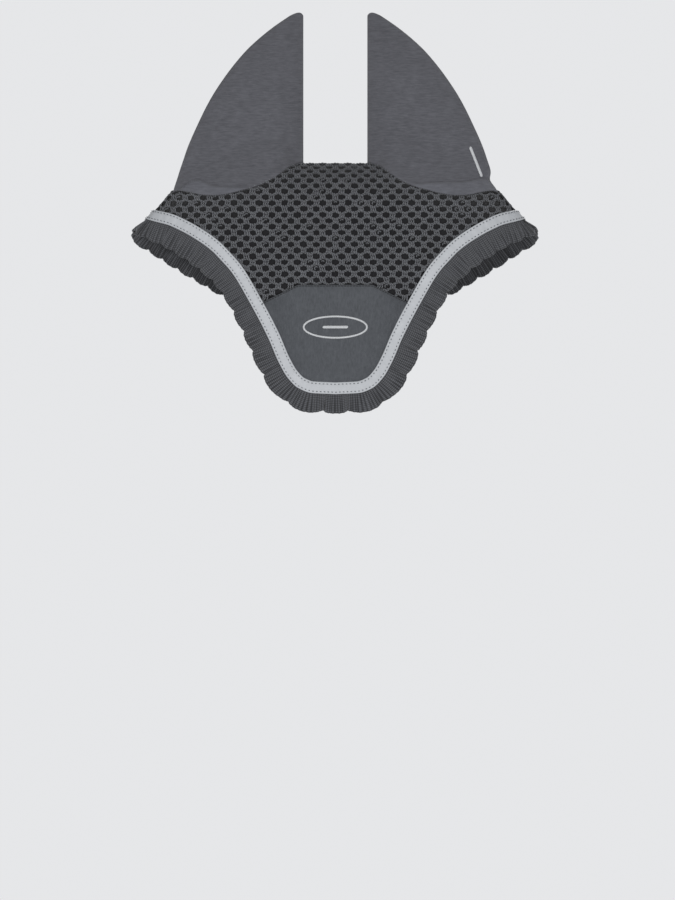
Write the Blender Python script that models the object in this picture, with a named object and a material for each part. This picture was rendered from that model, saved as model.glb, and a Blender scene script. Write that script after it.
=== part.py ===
"""Crocheted fly bonnet for a horse: a net crown with two jersey ear sleeves, a forehead
panel, a ribbon and a scalloped fringe.

Frame, in metres: the origin is where the horse's poll carries the crown, on the net's
inner face midway between the ears. +Z is up, -Y is the front of the horse's face, and +X
is the horse's left. The bonnet is held open as on a slim head, so every cloth piece lies
on or near one surface, the crown, at its own height above it.
"""

import math

import bmesh
import bpy
from mathutils import Vector

# Overall sizes
EAR_SPACING = 0.0772  # between the inner edges of the ears
EAR_HEIGHT = 0.1835  # poll line to ear tip
EAR_WIDTH = 0.1558  # inner edge to outer corner at the base
EAR_DIP = 0.0368  # the lowest point of an ear's base seam, below the poll line
SPAN = 0.4408  # side fold to side fold, at the ribbon
DROP = 0.2704  # poll line to the ribbon's middle at the nose
WING_DROP = 0.0630  # poll line to where the ribbon turns round the side fold
WING_TIP_DROP = 0.0900  # poll line to where the side fold's flare eases off
FLARE = 0.83  # how fast the side folds spread on the way down
FLARE_EASE = 0.030
CROWN_DEPTH = 0.045  # half the bonnet's depth from front to back
POLL_ROUND = 0.060  # height over which the crown rounds over the poll

# Back of the bonnet
CHEEK_DROP = 0.1330  # poll line to the cheek corners
CHEEK_REACH = 0.1220  # middle line to the cheek corners
NAPE_DROP = 0.0780  # poll line to the middle of the rear edge

# Forehead panel
FLAP_LINE = 0.1360  # poll line to the line that the forehead flap folds on
PANEL_TOP = 0.1464  # poll line to the panel's straight top edge
PANEL_TOP_HALF = 0.0445
PANEL_SIDE_DROP = 0.0250  # how far its slanting top corners fall away
BADGE_DROP = 0.1970  # poll line to the middle of the embroidery
BADGE_LENGTH = 0.0780
BADGE_HEIGHT = 0.0280
BADGE_BAND = 0.0024

# Trims
RIBBON_WIDTH = 0.0140
STITCH_INSET = 0.0018  # a stitch row's distance from the ribbon's edge
STITCH_WIDTH = 0.0008
FRINGE_WIDTH = 0.0275  # seam to the notches between scallops
FRINGE_FLARE = 0.0030  # it is wider by this beside the nose
SCALLOP_RISE = 0.0032
SCALLOP_PITCH = 0.0215
EDGING_WIDTH = 0.0060
HEM_HEIGHT = 0.0120
SEAM_ALLOWANCE = 0.0060

# Cloth thicknesses
NET = 0.0030
LINING = 0.0008
FELT = 0.0026
PANEL = 0.0010
RIBBON = 0.0008
FRINGE = 0.0037
THREAD = 0.0005
EMBROIDERY = 0.0008
JERSEY = 0.0010
HEM = 0.0020
SEAM = 0.0020

# Clearances
RIBBON_LIFT = 0.0011  # between the ribbon and the cloths it lies over
GAP = 0.0003  # between cloths that lie against each other
FOLD_GAP = 0.0007  # between front and back where they meet at a fold
SEAM_GAP = 0.0012  # between a cloth's edge and the seam line, under the ribbon

# Ear sleeves
EAR_PUFF = 0.0130  # half the sleeve's thickness halfway up
SLEEVE_NECK = 0.70  # the sleeve's neck goes this far into the depth of its hem
SLEEVE_REST = 0.0007  # between the sleeve's lower edge and the hem

# The front seam from nose to side fold: share of half the span, share of the way down
# from the wing to the nose.
SEAM_SHAPE = [
    (0.0, 1.0),
    (0.120, 0.994),
    (0.185, 0.969),
    (0.234, 0.917),
    (0.278, 0.836),
    (0.337, 0.691),
    (0.436, 0.489),
    (0.534, 0.313),
    (0.590, 0.243),
    (0.654, 0.174),
    (0.735, 0.112),
    (0.820, 0.060),
    (0.904, 0.021),
    (1.0, 0.0),
]
# The same seam on the back, from the side fold to the cheek corner: share of the way
# in from half the span to the cheek, share of the way down.
BACK_SEAM_SHAPE = [(0.2, 0.32), (0.4, 0.50), (0.6, 0.67), (0.8, 0.83), (1.0, 1.0)]
# An ear's outer edge: share of its width, share of its height from the outer corner.
EAR_EDGE_SHAPE = [
    (1.0, 0.0),
    (0.978, 0.064),
    (0.955, 0.120),
    (0.929, 0.176),
    (0.898, 0.243),
    (0.817, 0.377),
    (0.724, 0.511),
    (0.604, 0.645),
    (0.453, 0.780),
    (0.356, 0.847),
    (0.244, 0.913),
    (0.178, 0.947),
    (0.108, 0.981),
    (0.070, 1.0),
]
# An ear's base seam: share of its width, share of the dip.
EAR_BASE_SHAPE = [
    (0.0, 0.0),
    (0.092, 0.082),
    (0.176, 0.293),
    (0.266, 0.538),
    (0.368, 0.728),
    (0.471, 0.848),
    (0.567, 0.946),
    (0.676, 1.0),
    (0.779, 0.973),
    (0.875, 0.886),
    (0.958, 0.832),
    (1.0, 0.880),
]

EAR_INNER = EAR_SPACING / 2
HALF_SPAN = SPAN / 2
EAR_CORNER_DROP = EAR_DIP * EAR_BASE_SHAPE[-1][1]
QUARTER = math.pi / 2
NET_COLUMNS = 36
NET_ROWS = 9
SCALLOP_STEPS = 4

# Heights above the crown surface, where the net's inner face is 0
NET_MID = NET / 2
LINING_MID = -GAP - LINING / 2
FELT_MID = FELT / 2
PANEL_MID = FELT + GAP + PANEL / 2
PANEL_FACE = FELT + GAP + PANEL
FRINGE_MID = GAP / 2 + FRINGE / 2
RIBBON_MID = max(PANEL_FACE, NET, GAP / 2 + FRINGE) + RIBBON_LIFT + RIBBON / 2
RIBBON_FACE = RIBBON_MID + RIBBON / 2
THREAD_MID = RIBBON_FACE + GAP + THREAD / 2


def material(name, colour, roughness):
    """A cloth finish, as a Principled BSDF."""
    made = bpy.data.materials.new(name)
    made.use_nodes = True
    shader = made.node_tree.nodes["Principled BSDF"]
    shader.inputs["Base Color"].default_value = (*colour, 1.0)
    shader.inputs["Roughness"].default_value = roughness
    shader.inputs["Metallic"].default_value = 0.0
    return made


def between(points, at):
    """The second number of a list of points where the first is `at`, smoothly (monotone cubic)."""
    at = min(max(at, points[0][0]), points[-1][0])
    slopes = [(b[1] - a[1]) / (b[0] - a[0]) for a, b in zip(points, points[1:])]
    ends = [slopes[0]]
    for before, after in zip(slopes, slopes[1:]):
        same_way = before * after > 0
        ends.append(2 * before * after / (before + after) if same_way else 0.0)
    ends.append(slopes[-1])
    for i, (a, b) in enumerate(zip(points, points[1:])):
        if at <= b[0]:
            break
    run = b[0] - a[0]
    t = (at - a[0]) / run
    return (
        a[1] * (1 + 2 * t) * (1 - t) ** 2
        + ends[i] * run * t * (1 - t) ** 2
        + b[1] * t * t * (3 - 2 * t)
        + ends[i + 1] * run * t * t * (t - 1)
    )


def half_width(z):
    """From the middle line to the side fold, at height z."""
    down = -z
    flared = FLARE * (min(down, WING_TIP_DROP) - WING_DROP)
    below = max(0.0, down - WING_TIP_DROP)
    eased = FLARE_EASE * (1 - math.exp(-FLARE * below / FLARE_EASE))
    return HALF_SPAN + flared + eased


def rounding(z):
    """The crown's depth at height z, as a share of its full depth."""
    if -z >= POLL_ROUND:
        return 1.0
    return math.sqrt(max(0.0, 1 - (1 + z / POLL_ROUND) ** 2))


def bare_crown(turn, z):
    """The crown surface: turn is 0 at the front, a quarter turn at the horse's left fold."""
    return Vector(
        (
            half_width(z) * math.sin(turn),
            -CROWN_DEPTH * rounding(z) * math.cos(turn),
            z,
        )
    )


def crown_normal(turn, z):
    small = 1e-4
    z = min(z, -2 * small)
    round_it = bare_crown(turn + small, z) - bare_crown(turn - small, z)
    up = bare_crown(turn, z + small) - bare_crown(turn, z - small)
    return round_it.cross(up).normalized()


def crown(turn, z, height):
    """A point at a height above the crown surface, moved off the folds by half their gap."""
    point = bare_crown(turn, z) + crown_normal(turn, z) * height
    point.y -= math.copysign(FOLD_GAP / 2, math.cos(turn))
    return point


def turn_at(x, z):
    """The turn at which the front of the crown is x from the middle line."""
    return math.asin(max(-1.0, min(1.0, x / half_width(z))))


def front(x, z, height):
    return crown(turn_at(x, z), z, height)


def ear_base_drop(x):
    """How far below the poll line the ears' base seam lies, x from the middle line."""
    share = (abs(x) - EAR_INNER) / EAR_WIDTH
    return EAR_DIP * between(EAR_BASE_SHAPE, share)


def top_of_net(turn):
    """The height of the net's upper edge at a turn, where it meets the ears or the poll."""
    z = 0.0
    for _ in range(30):
        z = -ear_base_drop(half_width(z) * abs(math.sin(turn)))
    return z


def front_seam_z(x):
    share = between(SEAM_SHAPE, abs(x) / HALF_SPAN)
    return -WING_DROP - share * (DROP - WING_DROP)


def back_seam_points():
    """(turn, z) of the left seam's points on the back, from the fold to the cheek."""
    points = [(QUARTER, -WING_DROP)]
    for along, down in BACK_SEAM_SHAPE:
        z = -WING_DROP - down * (CHEEK_DROP - WING_DROP)
        x = HALF_SPAN - along * (HALF_SPAN - CHEEK_REACH)
        points.append((math.pi - turn_at(x, z), z))
    return points


BACK_SEAM = back_seam_points()
CHEEK_TURN = BACK_SEAM[-1][0]


def back_edge_z(turn):
    """The height of the seam, or of the rear edge past the cheek, at a turn on the back."""
    turn = min(turn, 2 * math.pi - turn)
    if turn <= CHEEK_TURN:
        return between(BACK_SEAM, turn)
    share = (turn - CHEEK_TURN) / (math.pi - CHEEK_TURN)
    return -CHEEK_DROP + (CHEEK_DROP - NAPE_DROP) * math.sin(share * QUARTER) ** 1.5


def whole_seam():
    """(turn, z, length so far) closely along the seam, from the right cheek to the left."""
    fine = 200
    half = []
    for i in range(fine + 1):
        x = HALF_SPAN * math.sin(QUARTER * i / fine)
        z = front_seam_z(x)
        half.append((turn_at(x, z), z))
    for i in range(1, fine + 1):
        turn = QUARTER + (CHEEK_TURN - QUARTER) * i / fine
        half.append((turn, back_edge_z(turn)))
    whole = [(-turn, z) for turn, z in half[:0:-1]] + half
    line = [(*whole[0], 0.0)]
    for a, b in zip(whole, whole[1:]):
        line.append((*b, line[-1][2] + (bare_crown(*a) - bare_crown(*b)).length))
    return line


def seam_line(count):
    """(turn, z) at even steps along the whole seam."""
    whole = whole_seam()
    line = []
    at = 0
    for i in range(count + 1):
        wanted = whole[-1][2] * i / count
        while at < len(whole) - 2 and whole[at + 1][2] < wanted:
            at += 1
        a, b = whole[at], whole[at + 1]
        share = (wanted - a[2]) / (b[2] - a[2])
        line.append((a[0] + (b[0] - a[0]) * share, a[1] + (b[1] - a[1]) * share))
    return line


def seam_frames(count, height):
    """(point, outward) along the seam: outward lies in the crown and points to the fringe."""
    line = seam_line(count)
    points = [crown(turn, z, height) for turn, z in line]
    frames = []
    for i, (turn, z) in enumerate(line):
        along = points[min(i + 1, count)] - points[max(i - 1, 0)]
        outward = along.cross(crown_normal(turn, z)).normalized()
        if outward.z > 0:
            outward.negate()
        frames.append((points[i], outward))
    return frames


def grid(columns, rows, place, closed=False):
    """A bmesh grid whose points are put at place(u, v), with u and v from 0 to 1."""
    mesh = bmesh.new()
    bmesh.ops.create_grid(mesh, x_segments=columns, y_segments=rows, size=0.5)
    for vertex in mesh.verts:
        vertex.co = place(vertex.co.x + 0.5, vertex.co.y + 0.5)
    if closed:
        bmesh.ops.remove_doubles(mesh, verts=mesh.verts, dist=1e-6)
    bmesh.ops.recalc_face_normals(mesh, faces=mesh.faces)
    return mesh


def keep_faces(mesh, wanted):
    """A copy of the mesh with only the faces whose middle point is wanted."""
    kept = mesh.copy()
    unwanted = [f for f in kept.faces if not wanted(f.calc_center_median())]
    bmesh.ops.delete(kept, geom=unwanted, context="FACES")
    return kept


def cloth(name, mesh, thickness, finish):
    """An object of that cloth, with its thickness half on each side of the mesh."""
    data = bpy.data.meshes.new(name)
    mesh.to_mesh(data)
    mesh.free()
    data.shade_smooth()
    data.materials.append(finish)
    made = bpy.data.objects.new(name, data)
    bpy.context.scene.collection.objects.link(made)
    solid = made.modifiers.new("Thickness", "SOLIDIFY")
    solid.thickness = thickness
    solid.offset = 0.0
    solid.use_even_offset = True
    return made


def split_at_flap(name, mesh, thickness, finish):
    """Three objects of one trim: left and right on the crown, and the nose on the flap."""
    for z in (-FLAP_LINE + GAP / 2, -FLAP_LINE - GAP / 2):
        front_faces = [f for f in mesh.faces if f.calc_center_median().y < 0]
        edges = {e for f in front_faces for e in f.edges}
        verts = {v for f in front_faces for v in f.verts}
        bmesh.ops.bisect_plane(
            mesh,
            geom=[*verts, *edges, *front_faces],
            dist=1e-7,
            plane_co=(0, 0, z),
            plane_no=(0, 0, 1),
        )

    def on_side(middle):
        return middle.y > 0 or middle.z > -FLAP_LINE + GAP / 2

    def on_nose(middle):
        return middle.y < 0 and middle.z < -FLAP_LINE - GAP / 2

    left = keep_faces(mesh, lambda m: on_side(m) and m.x > 0)
    right = keep_faces(mesh, lambda m: on_side(m) and m.x < 0)
    cloth(name + "_left", left, thickness, finish)
    cloth(name + "_right", right, thickness, finish)
    cloth(name + "_nose", keep_faces(mesh, on_nose), thickness, finish)
    mesh.free()


def make_net(yarn):
    """The crochet crown: front, back, and the strip between flap line and panel."""

    def front_net(u, v):
        return front_cloth((2 * u - 1) * QUARTER, v, NET_MID)

    def back_net(u, v):
        turn = math.pi + (2 * u - 1) * 0.9999 * QUARTER
        top = top_of_net(turn)
        return crown(turn, top + v * v * (back_edge_z(turn) + 2 * GAP - top), NET_MID)

    def strip(u, v):
        """From the flap line down to the panel's top edge, or to the seam beside it."""
        reach = seam_x_at(-FLAP_LINE)
        x = (2 * u - 1) * reach
        bottom = max(panel_top_z(x) + 4 * GAP, front_seam_z(x) + SEAM_GAP)
        top = -FLAP_LINE - GAP / 2
        return front(x, top + v * min(-0.0002, bottom - top), NET_MID)

    cloth("net_front", grid(NET_COLUMNS, NET_ROWS, front_net), NET, yarn)
    cloth("net_back", grid(NET_COLUMNS, 6, back_net), NET, yarn)
    cloth("net_strip", grid(24, 1, strip), NET, yarn)


def front_cloth(turn, v, height):
    """A point of the cloth over the front, v from 0 at its top edge to 1 at the flap line
    or the seam. Its rows lie closer together over the poll, where the crown is rounder."""
    top = top_of_net(turn)
    bottom = -FLAP_LINE + GAP / 2
    for _ in range(30):
        x = min(HALF_SPAN, abs(half_width(bottom) * math.sin(turn)))
        bottom = max(-FLAP_LINE + GAP / 2, front_seam_z(x) + SEAM_GAP)
    return crown(turn, top + v * v * (bottom - top), height)


def seam_x_at(z):
    """From the middle line to the front seam, at height z."""
    low, high = 0.0, HALF_SPAN
    for _ in range(40):
        middle = (low + high) / 2
        low, high = (middle, high) if front_seam_z(middle) < z else (low, middle)
    return low


def panel_top_z(x):
    """The panel's top edge: straight in the middle, slanting down at its corners."""
    past = max(0.0, abs(x) - PANEL_TOP_HALF)
    slant = PANEL_SIDE_DROP / (panel_corner_x() - PANEL_TOP_HALF)
    return -PANEL_TOP - past * slant


def panel_corner_x():
    return seam_x_at(-PANEL_TOP - PANEL_SIDE_DROP)


def make_lining(knit):
    """A thin dark lining behind the front net and the panel, cut at the flap line."""
    widest = QUARTER - 0.03

    def upper(u, v):
        turn = max(-widest, min(widest, (2 * u - 1) * QUARTER))
        return front_cloth(turn, v, LINING_MID)

    def lower(u, v):
        x = (2 * u - 1) * seam_x_at(-FLAP_LINE)
        top = -FLAP_LINE - GAP / 2
        bottom = min(top - 0.0002, front_seam_z(x) + GAP)
        return front(x, top + v * (bottom - top), LINING_MID)

    cloth("lining_upper", grid(NET_COLUMNS, NET_ROWS, upper), LINING, knit)
    cloth("lining_flap", grid(20, 4, lower), LINING, knit)


def make_panel(twill, felt, dark_thread, white_thread):
    """The forehead panel on its felt, its top stitch row and its embroidery."""
    corner = panel_corner_x()

    def panel_sheet(inset, height):
        def place(u, v):
            x = (2 * u - 1) * (corner - inset)
            top = panel_top_z(x) - inset
            bottom = min(top - 0.0002, front_seam_z(x) + GAP + inset)
            return front(x, top + v * (bottom - top), height)

        return grid(20, 4, place)

    cloth("panel", panel_sheet(0.0, PANEL_MID), PANEL, twill)
    cloth("panel_felt", panel_sheet(0.0015, FELT_MID), FELT, felt)

    def stitch_row(u, v):
        x = (2 * u - 1) * (corner - RIBBON_WIDTH)
        z = panel_top_z(x) - STITCH_INSET - v * STITCH_WIDTH
        return front(x, z, PANEL_FACE + GAP + THREAD / 2)

    cloth("panel_stitch", grid(24, 1, stitch_row), THREAD, dark_thread)

    def oval(u, v):
        """A closed band of satin stitch round a long oval."""
        angle = 2 * math.pi * u
        x = (BADGE_LENGTH / 2 - BADGE_BAND * v) * math.cos(angle)
        z = (BADGE_HEIGHT / 2 - BADGE_BAND * v) * math.sin(angle)
        return front(x, z - BADGE_DROP, PANEL_FACE + GAP + EMBROIDERY / 2)

    cloth("embroidery", grid(48, 1, oval, closed=True), EMBROIDERY, white_thread)


def make_trims(silver, knit, grey_thread):
    """The ribbon with its two stitch rows, and the scalloped fringe, all along the seam."""
    scallops = round(whole_seam()[-1][2] / SCALLOP_PITCH)
    steps = scallops * SCALLOP_STEPS

    def strip(near, far, height):
        frames = seam_frames(steps, height)

        def place(u, v):
            point, outward = frames[round(u * steps)]
            return point + outward * (near + v * (far - near))

        return grid(steps, 1, place)

    edge = RIBBON_WIDTH / 2
    row = edge - STITCH_INSET
    split_at_flap("ribbon", strip(-edge, edge, RIBBON_MID), RIBBON, silver)
    split_at_flap(
        "stitch_inner",
        strip(-row, -row + STITCH_WIDTH, THREAD_MID),
        THREAD,
        grey_thread,
    )
    split_at_flap(
        "stitch_outer",
        strip(row - STITCH_WIDTH, row, THREAD_MID),
        THREAD,
        grey_thread,
    )

    frames = seam_frames(steps, FRINGE_MID)

    def fringe(u, v):
        i = round(u * steps)
        point, outward = frames[i]
        phase = (i % SCALLOP_STEPS) / SCALLOP_STEPS
        beside = math.sin(math.pi * min(1.0, abs(2 * u - 1) * 2.4))
        reach = FRINGE_WIDTH + FRINGE_FLARE * beside**2
        reach += SCALLOP_RISE * math.sin(math.pi * phase) ** 0.5
        return point + outward * (GAP + v * (reach - GAP))

    split_at_flap("fringe", grid(steps, 1, fringe), FRINGE, knit)


def make_rear_edging(yarn):
    """The crocheted border along the rear edge, from cheek to cheek."""
    start = CHEEK_TURN + 0.02

    def place(u, v):
        turn = start + u * 2 * (math.pi - start)
        return crown(turn, back_edge_z(turn) - GAP - v * EDGING_WIDTH, NET_MID)

    cloth("rear_edging", grid(32, 1, place), NET, yarn)


def ear_point(across, up, side, neck=1.0, inset=0.0):
    """A point of the left ear. across is 0 at its inner edge and 1 at its outer, up is 0
    at the base seam and 1 at the tip, and side is -1 for its front and 1 for its back."""
    edge = [(height, share) for share, height in EAR_EDGE_SHAPE]
    outer_x = EAR_INNER + EAR_WIDTH * between(edge, up) - inset
    inner_x = EAR_INNER + inset
    x = inner_x + (outer_x - inner_x) * across
    inner_z = up * EAR_HEIGHT
    outer_z = -EAR_CORNER_DROP + up * (EAR_HEIGHT + EAR_CORNER_DROP)
    base_x = EAR_INNER + EAR_WIDTH * across
    sag = ear_base_drop(base_x) - EAR_CORNER_DROP * across
    z = inner_z + (outer_z - inner_z) * across - sag * (1 - up) ** 2
    base_z = -ear_base_drop(base_x)
    turn = turn_at(base_x, base_z)
    base_depth = -bare_crown(turn, base_z).y * neck
    puffed = EAR_PUFF * math.sqrt(max(0.0, 1 - up * up)) + 0.0016
    round_it = math.sqrt(max(0.0, 1 - (2 * across - 1) ** 2))
    share = min(1.0, up / 0.3)
    share = share * share * (3 - 2 * share)
    depth = base_depth * (1 - share) + puffed * round_it * share
    return Vector((x, side * depth, z))


def ear_ring(u, up, neck=1.0, inset=0.0):
    """The ear's outline at one height: u goes round it once from the inner edge."""
    angle = 2 * math.pi * u
    across = (1 - math.cos(angle)) / 2
    side = -1 if math.sin(angle) >= 0 else 1
    return ear_point(across, up, side, neck, inset)


def mirror_x(mesh):
    bmesh.ops.scale(mesh, vec=(-1, 1, 1), verts=mesh.verts)
    bmesh.ops.reverse_faces(mesh, faces=mesh.faces)
    return mesh


def make_ear(side_name, jersey, thread):
    """One ear: the hem sewn to the crown, and the sleeve with its seam, which tilt."""
    flip = side_name == "right"
    whole = EAR_HEIGHT + EAR_CORNER_DROP
    hem_top = HEM_HEIGHT / whole
    sleeve_start = (HEM_HEIGHT + SLEEVE_REST) / whole

    def hem(u, v):
        """Its lower edge stands clear of the net's thickness, which leans over the poll."""
        point = ear_ring(u, hem_top * v, 1.0, HEM / 2 + GAP)
        base_x = EAR_INNER + EAR_WIDTH * (1 - math.cos(2 * math.pi * u)) / 2
        base_z = -ear_base_drop(base_x)
        lean = crown_normal(turn_at(base_x, base_z), base_z).z
        point.z += (NET * lean + 2 * GAP) * (1 - v)
        return point

    def sleeve(u, v):
        up = sleeve_start + v * (0.992 - sleeve_start)
        return ear_ring(u, up, SLEEVE_NECK, HEM + 2 * GAP)

    def finish(mesh):
        return mirror_x(mesh) if flip else mesh

    cloth("ear_hem_" + side_name, finish(grid(32, 1, hem, closed=True)), HEM, jersey)

    mesh = grid(24, 9, sleeve, closed=True)
    tip = [e for e in mesh.edges if e.is_boundary and e.verts[0].co.z > EAR_HEIGHT / 2]
    face = bmesh.ops.contextual_create(mesh, geom=tip)["faces"]
    bmesh.ops.poke(mesh, faces=face)
    bmesh.ops.recalc_face_normals(mesh, faces=mesh.faces)
    cloth("ear_" + side_name, finish(mesh), JERSEY, jersey)

    def seam(u, v):
        up = 0.12 + 0.76 * u
        outer = ear_point(1.0, up, -1, SLEEVE_NECK, HEM + 2 * GAP)
        before = ear_point(1.0, up - 0.01, -1, SLEEVE_NECK, HEM + 2 * GAP)
        along = (outer - before).normalized()
        inward = Vector((-along.z, 0, along.x))
        return outer + inward * (0.0022 + v * SEAM_ALLOWANCE)

    cloth("ear_seam_" + side_name, finish(grid(16, 1, seam)), SEAM, thread)


def make_ear_mark(thread):
    """A short bar of satin stitch on the left ear, near its outer edge."""

    def place(u, v):
        up = 0.072 + 0.165 * u
        outer = ear_point(1.0, up, -1, SLEEVE_NECK, HEM + 2 * GAP)
        width = outer.x - EAR_INNER
        across = 1 - (0.0100 + 0.0050 * v) / width
        point = ear_point(across, up, -1, SLEEVE_NECK, HEM + 2 * GAP)
        return point + Vector((0, -JERSEY / 2 - EMBROIDERY / 2 - 0.0006, 0))

    cloth("ear_mark", grid(8, 1, place), EMBROIDERY, thread)


def main():
    for old in list(bpy.data.objects):
        bpy.data.objects.remove(old)

    yarn = material("crochet_yarn", (0.115, 0.120, 0.130), 0.9)
    jersey = material("ear_jersey", (0.100, 0.103, 0.113), 0.85)
    twill = material("panel_twill", (0.090, 0.098, 0.108), 0.75)
    silver = material("silver_ribbon", (0.60, 0.62, 0.65), 0.55)
    knit = material("fringe_knit", (0.085, 0.088, 0.095), 0.9)
    dark = material("dark_lining", (0.012, 0.012, 0.014), 0.95)
    felt = material("felt", (0.05, 0.05, 0.055), 0.95)
    grey_thread = material("grey_thread", (0.16, 0.165, 0.175), 0.7)
    white_thread = material("white_thread", (0.86, 0.87, 0.88), 0.5)

    make_net(yarn)
    make_lining(dark)
    make_panel(twill, felt, grey_thread, white_thread)
    make_trims(silver, knit, grey_thread)
    make_rear_edging(yarn)
    for side_name in ("left", "right"):
        make_ear(side_name, jersey, grey_thread)
    make_ear_mark(white_thread)


main()
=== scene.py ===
"""A crocheted fly bonnet for a horse: yarn net, jersey ear sleeves, forehead panel,
silver ribbon and ribbed scalloped fringe. Metres, +Z up, -Y the front of the face."""

import math

import bmesh
import bpy
import numpy as np
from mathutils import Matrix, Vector
from mathutils.bvhtree import BVHTree


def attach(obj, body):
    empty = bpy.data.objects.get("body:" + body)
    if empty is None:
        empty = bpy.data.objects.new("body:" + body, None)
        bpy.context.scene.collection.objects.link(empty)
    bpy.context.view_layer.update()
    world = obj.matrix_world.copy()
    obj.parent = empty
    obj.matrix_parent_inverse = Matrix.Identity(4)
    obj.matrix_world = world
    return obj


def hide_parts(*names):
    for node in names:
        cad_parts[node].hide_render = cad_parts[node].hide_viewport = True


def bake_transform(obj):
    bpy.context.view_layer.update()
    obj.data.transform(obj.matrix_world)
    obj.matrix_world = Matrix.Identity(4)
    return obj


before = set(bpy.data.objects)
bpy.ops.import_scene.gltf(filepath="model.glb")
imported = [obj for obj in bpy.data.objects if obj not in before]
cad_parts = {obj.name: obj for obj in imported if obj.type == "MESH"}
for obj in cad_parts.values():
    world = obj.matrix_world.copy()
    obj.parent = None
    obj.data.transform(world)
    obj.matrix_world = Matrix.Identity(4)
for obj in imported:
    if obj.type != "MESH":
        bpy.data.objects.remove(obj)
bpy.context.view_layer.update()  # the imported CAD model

# ------------------------------------------------------------------------------
# Painted shade: a thin, very dark knitted sheet behind the whole front, from the poll to the nose.
# It stands for the shadowed inside that shows through the holes of the crochet.
# ------------------------------------------------------------------------------

QUARTER = math.pi / 2
half_span = 0.2204
wing_drop = 0.0630
nose_drop = 0.2704
ear_inner = 0.0386
ear_width = 0.1558
ear_dip = 0.0368


def through(points):
    """A smooth function through (at, value) points that never overshoots them."""
    at = np.array([p[0] for p in points], float)
    value = np.array([p[1] for p in points], float)
    slope = np.diff(value) / np.diff(at)
    product = slope[:-1] * slope[1:]
    total = np.where(product > 0, slope[:-1] + slope[1:], 1.0)
    inner = np.where(product > 0, 2 * product / total, 0.0)
    ends = np.concatenate([slope[:1], inner, slope[-1:]])

    def smooth(x):
        x = np.clip(x, at[0], at[-1])
        i = np.clip(np.searchsorted(at, x) - 1, 0, len(at) - 2)
        run = at[i + 1] - at[i]
        t = (x - at[i]) / run
        rising = value[i] * (1 + 2 * t) * (1 - t) ** 2 + ends[i] * run * t * (1 - t) ** 2
        return (
            rising
            + value[i + 1] * t * t * (3 - 2 * t)
            + ends[i + 1] * run * t * t * (t - 1)
        )

    return smooth


seam_share = through(
    [
        (0.0, 1.0),
        (0.120, 0.994),
        (0.185, 0.969),
        (0.234, 0.917),
        (0.278, 0.836),
        (0.337, 0.691),
        (0.436, 0.489),
        (0.534, 0.313),
        (0.590, 0.243),
        (0.654, 0.174),
        (0.735, 0.112),
        (0.820, 0.060),
        (0.904, 0.021),
        (1.0, 0.0),
    ]
)
ear_base_share = through(
    [
        (0.0, 0.0),
        (0.092, 0.082),
        (0.176, 0.293),
        (0.266, 0.538),
        (0.368, 0.728),
        (0.471, 0.848),
        (0.567, 0.946),
        (0.676, 1.0),
        (0.779, 0.973),
        (0.875, 0.886),
        (0.958, 0.832),
        (1.0, 0.880),
    ]
)


def half_width(z):
    """From the middle line to the side fold, at height z."""
    down = -z
    flared = 0.83 * (np.minimum(down, 0.090) - wing_drop)
    below = np.maximum(0.0, down - 0.090)
    return half_span + flared + 0.030 * (1 - np.exp(-0.83 * below / 0.030))


def rounding(z):
    """The crown's depth at height z, as a share of its full depth."""
    over = np.clip(1 + z / 0.060, 0.0, 1.0)
    return np.sqrt(1 - over**2)


def bare_crown(turn, z):
    """The surface that the cloths follow. Turn is 0 in front, a quarter turn at a fold."""
    x = half_width(z) * np.sin(turn)
    y = -0.045 * rounding(z) * np.cos(turn)
    return np.stack([x, y, z], -1)


def unit(vectors):
    return vectors / np.maximum(np.linalg.norm(vectors, axis=-1, keepdims=True), 1e-12)


def crown_normal(turn, z):
    small = 1e-4
    z = np.minimum(z, -2 * small)
    round_it = bare_crown(turn + small, z) - bare_crown(turn - small, z)
    up = bare_crown(turn, z + small) - bare_crown(turn, z - small)
    return unit(np.cross(round_it, up))


def crown(turn, z, height):
    """A point at a height above the crown, with the gentle unevenness of soft cloth."""
    turn, z = np.broadcast_arrays(np.asarray(turn, float), np.asarray(z, float))
    x = half_width(z) * np.sin(turn)
    uneven = np.sin(31 * x + 1.3) * np.sin(27 * z + 0.4) + 0.6 * np.sin(58 * x - 40 * z)
    soft = 0.0009 * uneven * np.clip(-z / 0.05, 0, 1)
    lifted = np.broadcast_to(height, z.shape) + soft
    return bare_crown(turn, z) + crown_normal(turn, z) * lifted[..., None]


def turn_at(x, z):
    return np.arcsin(np.clip(x / half_width(z), -1.0, 1.0))


def front(x, z, height):
    return crown(turn_at(x, z), z, height)


def ear_base_drop(x):
    """How far the ears' base seam lies below the poll line, x from the middle line."""
    return ear_dip * ear_base_share((np.abs(x) - ear_inner) / ear_width)


def front_seam_z(x):
    """The height of the seam between the net and the fringe, on the front."""
    return -wing_drop - seam_share(np.abs(x) / half_span) * (nose_drop - wing_drop)


def top_z(turn):
    """Where the net's upper edge is, at a turn."""
    z = np.zeros_like(turn)
    for _ in range(30):
        z = -ear_base_drop(half_width(z) * np.sin(turn))
    return z


def bottom_z(turn):
    """Where the front seam is, at a turn."""
    z = np.full_like(turn, -0.1)
    for _ in range(60):
        z = 0.5 * z + 0.5 * front_seam_z(half_width(z) * np.sin(turn))
    return z


def link(name, data):
    made = bpy.data.objects.new(name, data)
    bpy.context.scene.collection.objects.link(made)
    return made


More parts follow.
